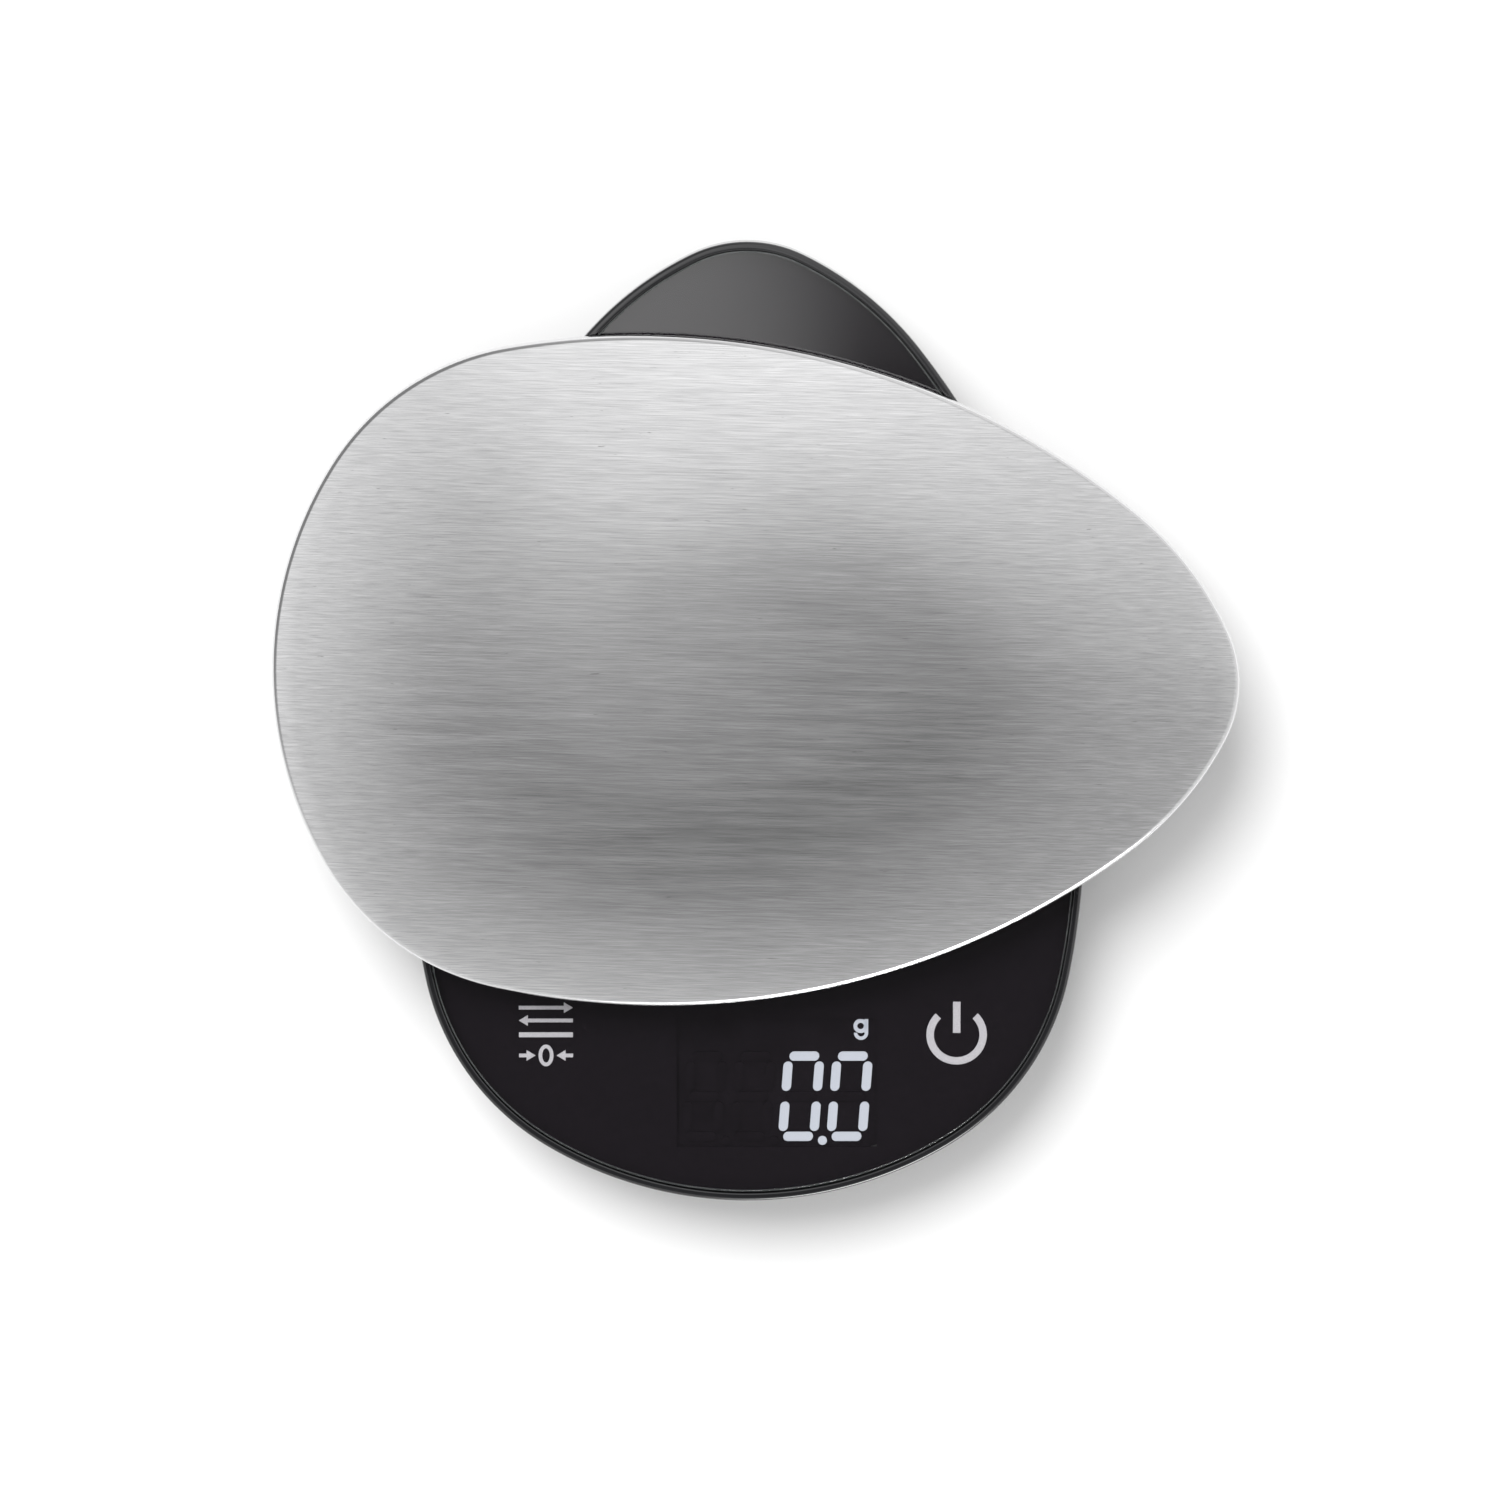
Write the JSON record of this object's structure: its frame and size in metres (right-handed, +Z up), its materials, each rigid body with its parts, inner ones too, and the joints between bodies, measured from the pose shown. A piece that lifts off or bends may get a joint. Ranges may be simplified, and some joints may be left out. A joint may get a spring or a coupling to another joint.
{
  "type": "kitchen scale",
  "caption": "Slim electronic kitchen scale: a brushed pick-shaped platform on a swivel turns out to uncover the readout and touch keys of a matching glass-topped base.",
  "frame": {"origin": "bottom centre of the whole object's box at rest, on the plane of the feet", "axes": "+Z up, +Y to the pointed end of the base, so the readout end faces -Y; at rest the platform's tip points to +X"},
  "size_m": [0.1904, 0.1916, 0.028],
  "materials": {
    "gloss_black": "moulded plastic with a high gloss",
    "matte_black": "moulded plastic with a fine spark texture",
    "black_glass": "flat toughened glass, dark tinted, polished edges",
    "print_black": "printed film on the underside of the glass",
    "print_grey": "light grey print",
    "segment_lit": "lit diffusing plastic, bluish white",
    "segment_dark": "unlit diffusing plastic",
    "brushed_plate": "stainless steel brushed along the platform, polished on the rolled edge",
    "screw_steel": "zinc plated steel, bright",
    "beam_aluminium": "machined aluminium, clear anodised",
    "contact_nickel": "nickel plated spring steel",
    "foot_rubber": "soft black rubber, matt",
    "touch_foam": "conductive foam",
    "tape": "adhesive foam tape",
    "tape_black": "black adhesive tape",
    "board_green": "glass fibre board with green solder mask",
    "white_plastic": "natural acetal and nylon",
    "potting_white": "white silicone",
    "wire_red": "coloured wire sleeves",
    "wire_black": "black wire sleeves",
    "cell_sleeve": "printed cell sleeve with bare metal ends"
  },
  "bodies": {
    "base": {"base_tray": "matte_black", "top_cover": "gloss_black", "housing_screws": "screw_steel", "rubber_feet": "foot_rubber", "glass_panel": "black_glass", "panel_mask": "print_black", "panel_legends": "print_grey", "panel_tape": "tape_black", "display_module": "matte_black", "digits_lit": "segment_lit", "digits_dark": "segment_dark", "main_board": "board_green", "board_chips": "matte_black", "board_screws": "screw_steel", "touch_pads": "touch_foam", "wire_sockets": "white_plastic", "load_cell": "beam_aluminium", "load_cell_screws": "screw_steel", "gauge_potting": "potting_white", "gauge_wires": "wire_red", "battery_cells": "cell_sleeve", "battery_plates": "contact_nickel", "battery_springs": "contact_nickel", "battery_wires": "wire_black", "spindle_spacer": "beam_aluminium", "spindle": "screw_steel", "spindle_screws": "screw_steel", "thrust_washer": "white_plastic", "disc_spring": "contact_nickel", "retaining_washer": "screw_steel", "retaining_screw": "screw_steel"},
    "platform": {"platform_plate": "brushed_plate", "platform_carrier": "matte_black", "platform_tape": "tape", "platform_hub": "white_plastic", "hub_screws": "screw_steel", "stop_pin": "screw_steel"},
    "door": {"battery_door": "matte_black"}
  },
  "joints": [
    {"name": "platform_swivel", "type": "hinge", "parent": "base", "child": "platform", "pos_m": [0.00445, 0.0046, 0], "axis": [0, 0, 1], "range_deg": [0, 91.4]},
    {"name": "battery_door_hinge", "type": "hinge", "parent": "base", "child": "door", "pos_m": [-0.00175, 0.02525, 0.0029], "axis": [-1, 0, 0], "range_deg": [0, 95]}
  ]
}
